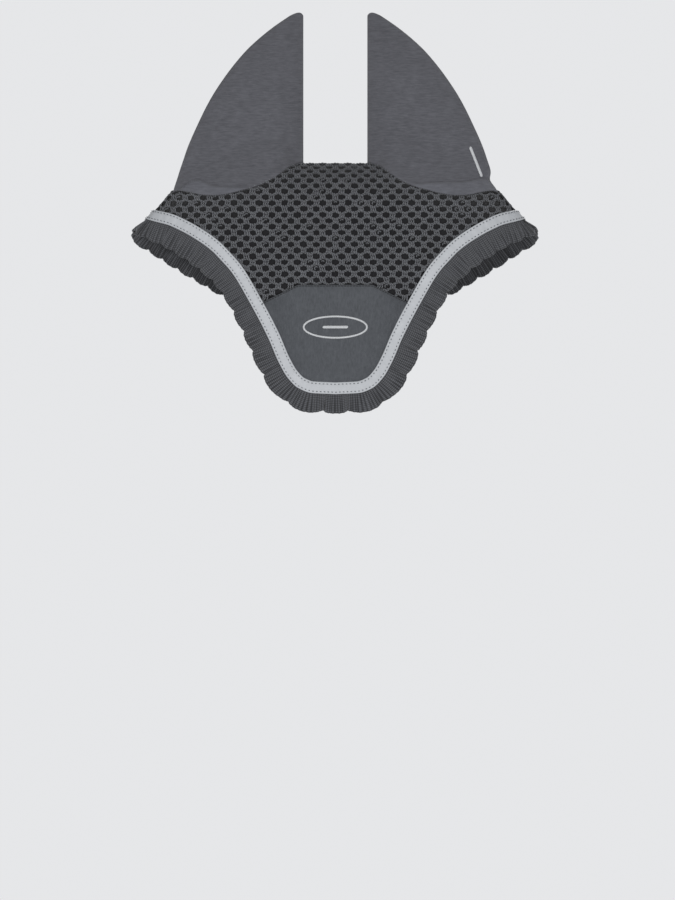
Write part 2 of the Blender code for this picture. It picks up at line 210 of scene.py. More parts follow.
def grid(name, columns, rows, place, weld=False, flip=False, size=None, mask=None):
    """A mesh whose points are at place(u, v), u and v from 0 to 1. Its UV map is in
    metres: of the size given, or measured along its middle row and column. A mask(u, v)
    is kept as the attribute Mask."""
    mesh = bmesh.new()
    mesh.loops.layers.uv.new("UVMap")
    bmesh.ops.create_grid(
        mesh, x_segments=columns, y_segments=rows, size=0.5, calc_uvs=True
    )
    data = bpy.data.meshes.new(name)
    mesh.to_mesh(data)
    flat = np.empty(len(data.vertices) * 3)
    data.vertices.foreach_get("co", flat)
    points = place(flat[0::3] + 0.5, flat[1::3] + 0.5)
    data.vertices.foreach_set("co", np.ascontiguousarray(points, float).ravel())
    if mask:
        painted = data.attributes.new("Mask", "FLOAT", "POINT")
        painted.data.foreach_set("value", mask(flat[0::3] + 0.5, flat[1::3] + 0.5))
    line = np.linspace(0, 1, 200)
    half = np.full(200, 0.5)
    along = np.linalg.norm(np.diff(place(line, half), axis=0), axis=1).sum()
    across = np.linalg.norm(np.diff(place(half, line), axis=0), axis=1).sum()
    if size:
        along, across = size
    uv = np.empty(len(data.loops) * 2)
    data.uv_layers.active.data.foreach_get("uv", uv)
    uv[0::2] *= along
    uv[1::2] *= across
    data.uv_layers.active.data.foreach_set("uv", uv)
    mesh.free()
    mesh = bmesh.new()
    mesh.from_mesh(data)
    if weld:
        bmesh.ops.remove_doubles(mesh, verts=mesh.verts, dist=1e-6)
    if flip:
        bmesh.ops.reverse_faces(mesh, faces=mesh.faces)
    mesh.to_mesh(data)
    mesh.free()
    data.shade_smooth()
    return link(name, data)


def thicken(piece, thickness, offset=0.0):
    solid = piece.modifiers.new("Thickness", "SOLIDIFY")
    solid.thickness = thickness
    solid.offset = offset
    return piece


def effect(name, outputs):
    """An empty node group with a UV-scale input, its noise and wave nodes to be added."""
    group = bpy.data.node_groups.new(name, "ShaderNodeTree")
    group.interface.new_socket("Scale", in_out="INPUT", socket_type="NodeSocketFloat")
    for output in outputs:
        group.interface.new_socket(
            output, in_out="OUTPUT", socket_type="NodeSocketFloat"
        )
    return group, group.nodes.new("NodeGroupInput"), group.nodes.new("NodeGroupOutput")


def sums(group, operation, a, b):
    node = group.nodes.new("ShaderNodeMath")
    node.operation = operation
    for socket, value in zip(node.inputs, (a, b)):
        if isinstance(value, (int, float)):
            socket.default_value = value
        else:
            group.links.new(value, socket)
    return node.outputs[0]


def uv_parts(group):
    coordinates = group.nodes.new("ShaderNodeTexCoord")
    parts = group.nodes.new("ShaderNodeSeparateXYZ")
    group.links.new(coordinates.outputs["UV"], parts.inputs[0])
    return parts.outputs[0], parts.outputs[1]


def noise(group, source, scale, detail=3.0, roughness=0.55):
    node = group.nodes.new("ShaderNodeTexNoise")
    node.inputs["Scale"].default_value = scale
    node.inputs["Detail"].default_value = detail
    node.inputs["Roughness"].default_value = roughness
    group.links.new(source, node.inputs["Vector"])
    return node.outputs["Fac"]


def ridge(group, along, frequency):
    """A rounded ridge, 0 to 1, repeated `frequency` times a metre."""
    turns = sums(group, "MULTIPLY", along, frequency)
    wave = sums(group, "SINE", sums(group, "MULTIPLY", turns, 2 * math.pi), 0.0)
    return sums(group, "ADD", sums(group, "MULTIPLY", wave, 0.5), 0.5)


def fibre_group():
    """Uneven dye and fuzz: slow blotches, fine speckle and faint wear, as one shade."""
    group, _, out = effect("Fibre", ["Shade", "Wear"])
    coordinates = group.nodes.new("ShaderNodeTexCoord")
    place = coordinates.outputs["Object"]
    slow = noise(group, place, 26.0, 2.0)
    fine = noise(group, place, 900.0, 2.0, 0.7)
    both = sums(
        group, "ADD", sums(group, "MULTIPLY", slow, 0.45), sums(group, "MULTIPLY", fine, 0.55)
    )
    group.links.new(both, out.inputs["Shade"])
    wear_and_ply_groove_shade = noise(group, place, 60.0, 5.0, 0.65)
    sharp = sums(group, "MULTIPLY", sums(group, "SUBTRACT", wear_and_ply_groove_shade, 0.5), 6.0)
    group.links.new(sums(group, "MAXIMUM", sharp, 0.0), out.inputs["Wear"])
    return group


def knit_group():
    """Jersey: columns of small V stitches, Scale of them a metre."""
    group, given, out = effect("Jersey knit", ["Height", "Shade"])
    across, up = uv_parts(group)
    columns = sums(group, "MULTIPLY", across, given.outputs["Scale"])
    inside = sums(group, "PINGPONG", columns, 0.5)
    lean = sums(group, "MULTIPLY", inside, 1.1)
    rows = sums(group, "MULTIPLY", up, given.outputs["Scale"])
    phase = sums(group, "ADD", sums(group, "MULTIPLY", rows, 1.25), lean)
    stitch = sums(group, "SINE", sums(group, "MULTIPLY", phase, 2 * math.pi), 0.0)
    legs = sums(group, "SINE", sums(group, "MULTIPLY", inside, 2 * math.pi), 0.0)
    height = sums(
        group, "MULTIPLY", legs, sums(group, "ADD", sums(group, "MULTIPLY", stitch, 0.3), 0.7)
    )
    group.links.new(height, out.inputs["Height"])
    group.links.new(height, out.inputs["Shade"])
    return group


def cloth(name, dark, light, roughness, weave, scale, bump, depth, sheen=0.25):
    """A finish whose colour runs from dark to light with the weave and the fibre. Where the weave's
    Shade is painted shade, as for yarn and ribs, the dark end is painted shade too.
    """
    made = bpy.data.materials.new(name)
    made.use_nodes = True
    tree = made.node_tree
    shader = tree.nodes["Principled BSDF"]
    shader.inputs["Roughness"].default_value = roughness
    shader.inputs["Metallic"].default_value = 0.0
    shader.inputs["Sheen Weight"].default_value = sheen
    shader.inputs["Sheen Roughness"].default_value = 0.5
    pattern = tree.nodes.new("ShaderNodeGroup")
    pattern.node_tree = weave
    pattern.inputs["Scale"].default_value = scale
    hair = tree.nodes.new("ShaderNodeGroup")
    hair.node_tree = fibre
    weave_part = sums(tree, "MULTIPLY", pattern.outputs["Shade"], depth)
    fibre_part = sums(tree, "MULTIPLY", hair.outputs["Shade"], 1.0 - depth)
    mix = tree.nodes.new("ShaderNodeMix")
    mix.data_type = "RGBA"
    mix.inputs[6].default_value = (*dark, 1.0)
    mix.inputs[7].default_value = (*light, 1.0)
    tree.links.new(sums(tree, "ADD", weave_part, fibre_part), mix.inputs[0])
    faded = tree.nodes.new("ShaderNodeMix")
    faded.data_type = "RGBA"
    faded.inputs[7].default_value = (*[min(1.0, c * 1.35 + 0.01) for c in light], 1.0)
    tree.links.new(sums(tree, "MULTIPLY", hair.outputs["Wear"], 0.12), faded.inputs[0])
    tree.links.new(mix.outputs[2], faded.inputs[6])
    tree.links.new(faded.outputs[2], shader.inputs["Base Color"])
    relief = tree.nodes.new("ShaderNodeBump")
    relief.inputs["Strength"].default_value = 0.8
    relief.inputs["Distance"].default_value = bump
    tree.links.new(pattern.outputs["Height"], relief.inputs["Height"])
    tree.links.new(relief.outputs["Normal"], shader.inputs["Normal"])
    return made


fibre = fibre_group()
knit = knit_group()
# painted shade: a near-black knit for the shadowed inside seen through the crochet's holes
shade_sheet_knit = cloth(
    "shade_sheet_knit", (0.004, 0.004, 0.005), (0.022, 0.022, 0.026), 0.95, knit, 450, 0.0006, 0.7
)


def shade_sheet_place(u, v):
    turn = (2 * u - 1) * (QUARTER + 0.12)
    top, bottom = top_z(turn) - 0.0005, bottom_z(turn) + 0.001
    down = v + 0.35 * v * (v - 1)
    return crown(turn, top + down * (bottom - top), -0.0007)


# the dark sheet of painted shade behind the front net
lining = grid("lining", 96, 72, shade_sheet_place, flip=True)
lining.data.materials.append(shade_sheet_knit)
thicken(lining, 0.0008)
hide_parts("lining_upper", "lining_flap")
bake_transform(lining)

# ------------------------------------------------------------------------------
# Crochet: rows of thick twisted chain that wave towards each other, tied where they
# meet by a knot of three short wraps, which leaves round holes in a staggered lattice.
# ------------------------------------------------------------------------------

hole_pitch = 0.0152
row_pitch = 0.0071
wave = 0.00155
yarn_radius = 0.00098
net_middle = 0.0015
meeting = 0.0006  # how far a tie may lie off its place
flap_row_z = -0.127
panel_top = 0.1464
panel_top_half = 0.0445
panel_side_drop = 0.0250
panel_corner = 0.0950
cheek_drop = 0.1330
cheek_reach = 0.1220
nape_drop = 0.0780


def threads(name, paths, radius, sides=5, taper=True):
    """One mesh of round threads. Each path is (points, the normal of the cloth under it)."""
    mesh = bmesh.new()
    mesh.loops.layers.uv.new("UVMap")
    placed, lengths = [], []
    angles = np.linspace(0, 2 * math.pi, sides + 1)[:, None, None]
    for points, normals in paths:
        count = len(points) - 1
        bmesh.ops.create_grid(
            mesh, x_segments=count, y_segments=sides, size=0.5, calc_uvs=True
        )
        along = unit(np.gradient(points, axis=0))
        side = unit(np.cross(along, normals))
        up = np.cross(side, along)
        thick = np.full(count + 1, radius)
        if taper:
            thick[[0, -1]] *= 0.35
        ring = np.cos(angles) * side + np.sin(angles) * up
        placed.append((points + ring * thick[:, None]).reshape(-1, 3))
        length = np.linalg.norm(np.diff(points, axis=0), axis=1).sum()
        lengths.append(np.full(count * sides * 4, length))
    data = bpy.data.meshes.new(name)
    mesh.to_mesh(data)
    mesh.free()
    data.vertices.foreach_set("co", np.concatenate(placed).ravel())
    uv = np.empty(len(data.loops) * 2)
    data.uv_layers.active.data.foreach_get("uv", uv)
    uv[0::2] *= np.concatenate(lengths)
    data.uv_layers.active.data.foreach_set("uv", uv)
    mesh = bmesh.new()
    mesh.from_mesh(data)
    bmesh.ops.remove_doubles(mesh, verts=mesh.verts, dist=1e-7)
    mesh.to_mesh(data)
    mesh.free()
    data.shade_smooth()
    return link(name, data)


def twist(points, normals, along, wander, repeat=2 / hole_pitch, width=0.00115):
    """Two strands laid round each other. Wander is the line's own sideways offset."""
    ahead = unit(np.gradient(points, axis=0))
    down = unit(np.cross(ahead, normals))
    strands = []
    for strand in range(2):
        phase = 2 * math.pi * along * repeat + strand * math.pi
        sideways = (wander + width * np.sin(phase))[:, None]
        lift = (0.00105 * np.cos(phase))[:, None]
        strands.append((points + down * sideways + normals * lift, normals))
    return strands


def runs(mask, least):
    """(start, end) of each stretch of True of at least that many points."""
    edges = np.flatnonzero(np.diff(np.concatenate([[0], mask.astype(int), [0]])))
    return [(a, b) for a, b in zip(edges[::2], edges[1::2]) if b - a >= least]


back_seam = [(QUARTER, -wing_drop)]
for share_in, share_down in ((0.2, 0.32), (0.4, 0.50), (0.6, 0.67), (0.8, 0.83), (1.0, 1.0)):
    back_z = -wing_drop - share_down * (cheek_drop - wing_drop)
    back_x = half_span - share_in * (half_span - cheek_reach)
    back_seam.append((math.pi - float(turn_at(back_x, back_z)), back_z))
cheek_turn = back_seam[-1][0]
back_seam_z = through(back_seam)


def back_edge_z(turn):
    """The height of the seam, or of the rear edge past the cheek, on the back."""
    turn = np.minimum(np.abs(turn), 2 * math.pi - np.abs(turn))
    share = np.clip((turn - cheek_turn) / (math.pi - cheek_turn), 0, 1)
    rear = -cheek_drop + (cheek_drop - nape_drop) * np.sin(share * QUARTER) ** 1.5
    return np.where(turn <= cheek_turn, back_seam_z(turn), rear)


def panel_top_z(x):
    past = np.maximum(0.0, np.abs(x) - panel_top_half)
    return -panel_top - past * panel_side_drop / (panel_corner - panel_top_half)


levels = np.linspace(0, -0.19, 800)
profile = bare_crown(np.zeros(800), levels)
steps = np.linalg.norm(np.diff(profile, axis=0), axis=1)
down_length = np.concatenate([[0], np.cumsum(steps)])
row_heights = np.interp(
    (np.arange(30) + 0.5) * row_pitch, down_length, levels, right=-1.0
)
row_heights = row_heights[row_heights > -0.175]
chain = {"front": [], "back": [], "flap": []}


def ring(z):
    """Turns round the crown at height z, and the lengths to them from the middle line."""
    turns = np.linspace(0, math.pi, 3000)
    points = bare_crown(turns, np.full(3000, z))
    lengths = np.linalg.norm(np.diff(points, axis=0), axis=1)
    return turns, np.concatenate([[0], np.cumsum(lengths)])


def turn_along(along, table):
    return np.sign(along) * np.interp(np.abs(along), table[1], table[0])


rings = [ring(z) for z in row_heights]
chance = np.random.default_rng(11)
for row, z in enumerate(row_heights):
    girth = rings[row][1][-1]
    step = hole_pitch / 15
    reach = int(girth / step)
    along = np.arange(-reach, reach + 1) * step
    turn = turn_along(along, rings[row])
    x = half_width(z) * np.sin(turn)
    on_front = np.abs(turn) <= QUARTER
    below_ears = z < -ear_base_drop(x) - 0.0012
    above_seam = z > np.maximum(front_seam_z(x) + 0.0022, panel_top_z(x) + 0.0010)
    above_rear = z > back_edge_z(turn) + 0.0030
    heights = np.full(len(turn), z)
    points = crown(turn, heights, net_middle)
    normals = crown_normal(turn, heights)
    sway = wave * np.cos(2 * math.pi * along / hole_pitch + row * math.pi)
    sway = sway + 0.0004 * np.sin(173 * along + 2.3 * row) + 0.0003 * np.sin(97 * along - row)
    place = "front" if z > flap_row_z else "flap"
    for part, mask in (
        (place, on_front & below_ears & above_seam),
        ("back", ~on_front & below_ears & above_rear),
    ):
        for start, end in runs(mask, 5):
            span = slice(start, end)
            chain[part] += twist(points[span], normals[span], along[span], sway[span])
        if row + 1 == len(row_heights):
            continue
        drop = row_heights[row + 1] - z
        ties = np.arange(-60, 61) * hole_pitch - row * hole_pitch / 2
        for tie in ties[np.abs(ties) < girth]:
            if not mask[int(round((tie / step) + reach))]:
                continue
            low_turn = float(turn_along(tie, rings[row + 1]))
            tie_x = half_width(z + drop) * math.sin(low_turn)
            low_edge = max(float(front_seam_z(tie_x)) + 0.003, float(panel_top_z(tie_x)) + 0.001)
            if part == "back":
                low_edge = float(back_edge_z(low_turn)) + 0.003
            if z + drop / 2 < low_edge:
                continue
            tie = tie + chance.uniform(-meeting, meeting)
            for wrap in (-1, 0, 1):
                long = chance.uniform(0.52, 0.66) if wrap else 0.50
                down = 0.5 + np.linspace(-long, long, 7) + chance.uniform(-0.06, 0.06)
                slant = chance.uniform(0.1, 1.2) * 0.001 * (1 - 2 * (row % 2))
                beside = tie + 0.00262 * wrap + slant * (down - 0.5) * 2
                beside = beside + chance.uniform(-0.0002, 0.0002)
                upper = turn_along(beside, rings[row])
                lower = turn_along(beside, rings[row + 1])
                wrap_turn = upper + (lower - upper) * down
                wrap_z = z + drop * down
                arch = 1 - np.linspace(-1, 1, 7) ** 4
                lift = net_middle - 0.0004 + chance.uniform(0.0008, 0.0015) * arch
                normal = crown_normal(wrap_turn, wrap_z)
                chain[part].append((crown(wrap_turn, wrap_z, lift), normal))
            if chance.random() < 0.15 and part != "back":
                swing = np.linspace(0.4, 0.4 + chance.uniform(2.2, 4.2), 9)
                aside = tie + hole_pitch / 2 + 0.0021 * np.cos(swing)
                loop_z = z + drop / 2 + 0.0019 * np.sin(swing)
                loop_turn = turn_along(aside, rings[row])
                normal = crown_normal(loop_turn, loop_z)
                chain[part].append((crown(loop_turn, loop_z, 0.0006), normal))

hem_x = np.linspace(ear_inner - 0.001, ear_inner + ear_width, 420)
for hand in (-1, 1):
    for part in ("front", "back"):
        hem_z = -ear_base_drop(hem_x) - 0.0010
        hem_turn = hand * turn_at(hem_x, hem_z)
        if part == "back":
            hem_turn = math.pi - hem_turn
        hem_line = crown(hem_turn, hem_z, net_middle - 0.0003)
        hem_steps = np.linalg.norm(np.diff(hem_line, axis=0), axis=1)
        hem_along = np.concatenate([[0], np.cumsum(hem_steps)])
        hem_normals = crown_normal(hem_turn, hem_z)
        chain[part] += twist(hem_line, hem_normals, hem_along, 0 * hem_x)
for hand in (-1, 1):
    fold_z = np.linspace(-ear_base_drop(ear_inner + ear_width), -wing_drop, 70)
    fold_turn = np.full(70, hand * QUARTER)
    fold_line = crown(fold_turn, fold_z, net_middle - 0.0006)
    fold_normals = crown_normal(fold_turn, fold_z)
    chain["front"] += twist(fold_line, fold_normals, -fold_z, 0 * fold_z)


def ply_group():
    """Twisted yarn: plies that run round the thread, Scale turns a metre. Its Shade is painted
    shade:
    lightest along the crest that stands off the cloth, darker down its flanks and between the plies."""
    group, given, out = effect("Yarn ply", ["Height", "Shade"])
    along, around = uv_parts(group)
    turns = sums(group, "MULTIPLY", along, given.outputs["Scale"])
    ply = ridge(group, sums(group, "ADD", turns, around), 3.0)
    angle = sums(group, "MULTIPLY", around, 2 * math.pi)
    # painted shade: the colour is lit along the crest and darkened down the flanks
    painted_crest_light = sums(group, "MAXIMUM", sums(group, "SINE", angle, 0.0), 0.0)
    painted_crest_light = sums(group, "POWER", painted_crest_light, 2.0)
    wear_and_ply_groove_shade = sums(group, "ADD", sums(group, "MULTIPLY", ply, 0.80), 0.20)
    group.links.new(ply, out.inputs["Height"])
    group.links.new(sums(group, "MULTIPLY", painted_crest_light, wear_and_ply_groove_shade), out.inputs["Shade"])
    return group


ply = ply_group()
# the near-black dark end is painted shade on the yarn's flanks and between its plies
crochet_yarn = cloth(
    "crochet_cotton", (0.005, 0.005, 0.007), (0.290, 0.302, 0.332), 0.9, ply, 90, 0.0010, 0.88
)
net_pieces = {}
for part, nodes in (("front", ["net_front"]), ("back", ["net_back"]), ("flap", ["net_strip"])):
    net = threads("crochet_" + part, chain[part], yarn_radius)
    net.data.materials.append(crochet_yarn)
    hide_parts(*nodes)
    if part == "flap":
        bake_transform(net)
    else:
        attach(net, "crown")
    net_pieces[part] = net

# ------------------------------------------------------------------------------
# Rear edging: a thicker chain along the rear edge with a row of small loops below it.
# ------------------------------------------------------------------------------

edge_turns = np.linspace(cheek_turn + 0.02, 2 * math.pi - cheek_turn - 0.02, 700)
edge_line = crown(edge_turns, back_edge_z(edge_turns) - 0.0010, net_middle)
edge_steps = np.linalg.norm(np.diff(edge_line, axis=0), axis=1)
edge_along = np.concatenate([[0], np.cumsum(edge_steps)])
edge_normals = crown_normal(edge_turns, back_edge_z(edge_turns))
edge_paths = twist(edge_line, edge_normals, edge_along, np.zeros(700), 170, 0.0012)
loop_phase = math.pi * edge_along / 0.0058
loop_drop = -0.0026 - 0.0028 * np.abs(np.sin(loop_phase)) ** 0.7
edge_ahead = unit(np.gradient(edge_line, axis=0))
edge_down = unit(np.cross(edge_ahead, edge_normals))
if edge_down[350, 2] > 0:
    loop_drop = -loop_drop
loop_points = edge_line - edge_down * loop_drop[:, None]
edge_paths.append((loop_points, edge_normals))
edging = threads("rear_edging_chain", edge_paths, 0.00085)
edging.data.materials.append(crochet_yarn)
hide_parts("rear_edging")
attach(edging, "crown")

# ------------------------------------------------------------------------------
# Ear sleeves: flat tubes of heathered jersey with a straight folded inner edge, a curved seam
# outside, and a turned hem over the crochet.
# ------------------------------------------------------------------------------

ear_height = 0.1835
corner_drop = ear_dip * 0.880
ear_edge = through(
    [
        (0.0, 1.0),
        (0.064, 0.978),
        (0.120, 0.955),
        (0.176, 0.929),
        (0.243, 0.898),
        (0.377, 0.817),
        (0.511, 0.724),
        (0.645, 0.604),
        (0.780, 0.453),
        (0.847, 0.356),
        (0.913, 0.244),
        (0.947, 0.178),
        (0.981, 0.108),
        (1.0, 0.070),
    ]
)


def ease(t):
    t = np.clip(t, 0.0, 1.0)
    return t * t * (3 - 2 * t)


hem_rise = {
    1: through(
        [(0.088, 0.0), (0.113, 0.0085), (0.143, 0.0145), (0.185, 0.0132), (0.196, 0.0125)]
    ),
    -1: through(
        [(0.099, 0.0), (0.127, 0.0072), (0.148, 0.0105), (0.168, 0.0150), (0.175, 0.0125)]
        + [(0.191, 0.0), (0.196, 0.0)]
    ),
}


def climb(v):
    """The share of the sleeve's height at v: rows lie closest at the base and the tip."""
    return v - 0.11 * np.sin(2 * math.pi * v)


def ear_hem(hand, u, v):
    """(height of the hem's fold there, height above the base seam)"""
    across = (1 - np.cos(2 * math.pi * u)) / 2
    base_x = ear_inner + ear_width * across
    outer_z = climb(v) * (ear_height + corner_drop) - corner_drop
    z = climb(v) * ear_height * (1 - across) + outer_z * across
    drop = ear_base_drop(base_x)
    z = z - (drop - corner_drop * across) * (1 - climb(v)) ** 2
    return hem_rise[hand](base_x), z + drop


def ear_surface(hand):
    def place(u, v):
        angle = 2 * math.pi * u
        across = (1 - np.cos(angle)) / 2
        side = np.where(np.sin(angle) >= -1e-9, -1.0, 1.0)
        up = climb(v)
        tip = np.sqrt(1 - np.clip((up - 0.975) / 0.025, 0, 1) ** 2)
        across = 0.5 + (across - 0.5) * tip
        base_x = ear_inner + ear_width * across
        drop = ear_base_drop(base_x)
        waist = 0.0045 * np.exp(-(((up - 0.062) / 0.035) ** 2)) * (hand > 0)
        outer_x = ear_width * ear_edge(up) - waist
        x = ear_inner + outer_x * across
        outer_z = -corner_drop + up * (ear_height + corner_drop)
        z = up * ear_height * (1 - across) + outer_z * across
        z = z - (drop - corner_drop * across) * (1 - up) ** 2
        lap = 0.0028 * ease(drop / 0.012)
        base_z = -drop - lap
        turn = turn_at(base_x, base_z)
        turn = np.where(side < 0, turn, math.pi - turn)
        lean = np.clip(crown_normal(turn, base_z)[..., 2], 0, 1)
        seat = crown(turn, base_z, 0.0040 - 0.0026 * lean)
        round_it = np.sqrt(np.maximum(0.0, 1 - (2 * across - 1) ** 2))
        puff = 0.0128 * np.sqrt(np.maximum(0.0, 1 - up * up)) + 0.0012
        neck = np.abs(bare_crown(turn, -drop)[..., 1])
        share = ease(up / 0.30)
        depth = neck * (1 - share) + puff * round_it * share
        wrinkles = (
            np.sin(95 * x + 40 * z + 3 * hand)
            * np.sin(38 * z - 30 * x)
            * ease(up / 0.05)
            * (0.0011 + 0.0012 * (1 - up))
        )
        pull = 0.0013 * np.sin(70 * (z + 0.9 * x)) * np.exp(-(((up - 0.12) / 0.12) ** 2))
        depth = depth + (wrinkles + pull) * round_it
        hem, above_seat = ear_hem(hand, u, v)
        strength = ease(hem / 0.006)
        crease = ease((hem - above_seat) / 0.0012 + 0.5)
        rolled = np.sqrt(np.clip(above_seat / np.maximum(hem, 1e-4), 0, 1))
        depth = depth + crease * (0.0006 + 0.0022 * rolled) * strength
        depth = depth - 0.0012 * strength * np.exp(-(((above_seat - hem - 0.0016) / 0.0011) ** 2))
        seam_at = (1 - across) * outer_x
        ridge_it = np.exp(-(((seam_at - 0.0042) / 0.0012) ** 2))
        depth = depth + 0.0006 * ridge_it * ease((up - 0.02) / 0.05)
        sheet = np.stack([x, side * depth, z], -1)
        pull_in = (1 - ease(up / 0.085))[..., None]
        offset = seat - np.stack([base_x, side * neck, -drop], -1)
        sheet = sheet + offset * pull_in
        return sheet * np.array([hand, 1, 1])

    return place


def jersey_group():
    """Heather: fine flecks drawn out along the knitted rows, over the knit itself."""
    group, given, out = effect("Heather", ["Height", "Shade"])
    coordinates = group.nodes.new("ShaderNodeTexCoord")
    stretch = group.nodes.new("ShaderNodeMapping")
    stretch.inputs["Scale"].default_value = (100.0, 100.0, 620.0)
    group.links.new(coordinates.outputs["Object"], stretch.inputs["Vector"])
    fleck = noise(group, stretch.outputs[0], 1.0, 3.0, 0.65)
    contrast = sums(group, "MULTIPLY", sums(group, "SUBTRACT", fleck, 0.5), 2.2)
    base = group.nodes.new("ShaderNodeGroup")
    base.node_tree = knit
    group.links.new(given.outputs["Scale"], base.inputs["Scale"])
    knitted = sums(group, "MULTIPLY", base.outputs["Shade"], 0.35)
    group.links.new(
        sums(group, "ADD", sums(group, "ADD", contrast, 0.35), knitted), out.inputs["Shade"]
    )
    group.links.new(base.outputs["Height"], out.inputs["Height"])
    return group


heather = jersey_group()
ear_jersey = cloth(
    "heather_jersey", (0.066, 0.067, 0.077), (0.160, 0.162, 0.184), 0.85, heather, 1100, 0.0002, 0.6
)
# painted light: a lighter colour is added on the rolled hem band (attribute Mask), for the light on
# the roll that faces up
jersey_tree = ear_jersey.node_tree
turned = jersey_tree.nodes.new("ShaderNodeAttribute")
turned.attribute_name = "Mask"
jersey_shader = jersey_tree.nodes["Principled BSDF"]
plain_jersey = jersey_shader.inputs["Base Color"].links[0].from_socket
hem_painted_light = jersey_tree.nodes.new("ShaderNodeMix")
hem_painted_light.data_type = "RGBA"
hem_painted_light.blend_type = "ADD"
hem_painted_light.inputs[7].default_value = (0.024, 0.026, 0.031, 1.0)
jersey_tree.links.new(turned.outputs["Fac"], hem_painted_light.inputs[0])
jersey_tree.links.new(plain_jersey, hem_painted_light.inputs[6])
jersey_tree.links.new(hem_painted_light.outputs[2], jersey_shader.inputs["Base Color"])


# the share of the rolled hem band that gets the painted light
def hem_light_mask(hand):
    def mask(u, v):
        hem, above_seat = ear_hem(hand, u, v)
        return ease((hem - above_seat) / 0.0012 + 0.5) * ease(hem / 0.005)

    return mask


def sleeve_bend(piece):
    """Bakes the piece's placement into its mesh."""
    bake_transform(piece)


ears = {}
for side_name, hand in (("left", 1), ("right", -1)):
    ear = grid(
        "ear_sleeve_" + side_name,
        150,
        140,
        ear_surface(hand),
        weld=True,
        flip=hand < 0,
        mask=hem_light_mask(hand),
    )
    ear.data.materials.append(ear_jersey)
    thicken(ear, 0.0010, -1.0)
    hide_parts("ear_" + side_name, "ear_hem_" + side_name)
    sleeve_bend(ear)
    ears[side_name] = ear

# ------------------------------------------------------------------------------
# Ear seams: the sewn allowance inside each sleeve's outer curve, with its overlock thread,
# and the stitched line that holds each hem to the crochet.
# ------------------------------------------------------------------------------

grey_thread = cloth(
    "grey_sewing_thread", (0.006, 0.007, 0.009), (0.022, 0.024, 0.030), 0.7, ply, 600, 0.0001, 0.5
)


def dashes(line, normals, pitch, length, radius, lift):
    """Short stitches along a line, each dipping into the cloth at both ends."""
    steps = np.linalg.norm(np.diff(line, axis=0), axis=1)
    along = np.concatenate([[0], np.cumsum(steps)])
    shape = np.array([-1.0, -0.75, -0.3, 0.3, 0.75, 1.0])
    rise = np.array([-0.6, 0.5, 1.0, 1.0, 0.5, -0.6])
    made = []
    for middle in np.arange(pitch / 2, along[-1] - pitch / 2, pitch):
        at = middle + shape * length / 2
        points = np.stack([np.interp(at, along, line[:, i]) for i in range(3)], -1)
        ups = np.stack([np.interp(at, along, normals[:, i]) for i in range(3)], -1)
        ups = unit(ups)
        made.append((points + ups * (rise * radius + lift)[:, None], ups))
    return made


for side_name, hand in (("left", 1), ("right", -1)):
    place = ear_surface(hand)
    count = 260
    seam_v = np.linspace(0.06, 0.93, count)
    seam_u = np.full(count, 0.5)
    edge = place(seam_u, seam_v)
    inside = edge + np.array([-hand * 0.0042, 0, 0])
    ahead = unit(np.gradient(edge, axis=0))
    allowance = [(inside, np.tile([0.0, 1.0, 0.0], (count, 1)))]
    zigzag = np.arange(count) % 4
    swing = np.array([0.0, 0.0012, 0.0, -0.0012])[zigzag]
    looped = inside + np.stack([np.full(count, -hand * 0.0012), swing, 0 * swing], -1)
    allowance.append((looped, np.tile([0.0, 1.0, 0.0], (count, 1))))
    seam = threads("ear_overlock_" + side_name, allowance, 0.0008)
    seam.data.materials.append(grey_thread)
    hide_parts("ear_seam_" + side_name)
    sleeve_bend(seam)

    hem_paths = []
    for around in (np.linspace(0.012, 0.488, 400), np.linspace(0.512, 0.988, 400)):
        line = place(around, np.full(400, 0.004))
        outward = np.where(line[:, 1:2] < 0, -1.0, 1.0) * np.array([0.0, 1.0, 0.0])
        hem_paths += dashes(line, outward, 0.0030, 0.0022, 0.00028, 0.0001)
    hem_stitches = threads("hem_stitches_" + side_name, hem_paths, 0.00028)
    hem_stitches.data.materials.append(grey_thread)
    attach(hem_stitches, "crown")

# ------------------------------------------------------------------------------
# Forehead panel: smooth woven cloth on a felt, its top edge turned and stitched down.
# ------------------------------------------------------------------------------


def weave_group():
    """Plain weave: threads over and under each other, Scale of them a metre."""
    group, given, out = effect("Plain weave", ["Height", "Shade"])
    across, up = uv_parts(group)
    warp = ridge(group, sums(group, "MULTIPLY", across, given.outputs["Scale"]), 1.0)
    weft = ridge(group, sums(group, "MULTIPLY", up, given.outputs["Scale"]), 1.0)
    both = sums(group, "MULTIPLY", warp, weft)
    height = sums(group, "MAXIMUM", both, sums(group, "MULTIPLY", weft, 0.6))
    coordinates = group.nodes.new("ShaderNodeTexCoord")
    stretch = group.nodes.new("ShaderNodeMapping")
    stretch.inputs["Scale"].default_value = (520.0, 520.0, 170.0)
    group.links.new(coordinates.outputs["Object"], stretch.inputs["Vector"])
    slub = sums(group, "SUBTRACT", noise(group, stretch.outputs[0], 1.0, 3.0, 0.7), 0.5)
    uneven = sums(group, "MULTIPLY", slub, 2.0)
    group.links.new(height, out.inputs["Height"])
    group.links.new(sums(group, "ADD", height, uneven), out.inputs["Shade"])
    return group


weave = weave_group()
panel_cloth = cloth(
    "panel_weave", (0.054, 0.059, 0.068), (0.124, 0.134, 0.150), 0.7, weave, 1400, 0.0002, 0.6, 0.2
)
felt_cloth = cloth(
    "dark_felt", (0.020, 0.020, 0.023), (0.060, 0.060, 0.066), 0.95, knit, 300, 0.0004, 0.2
)


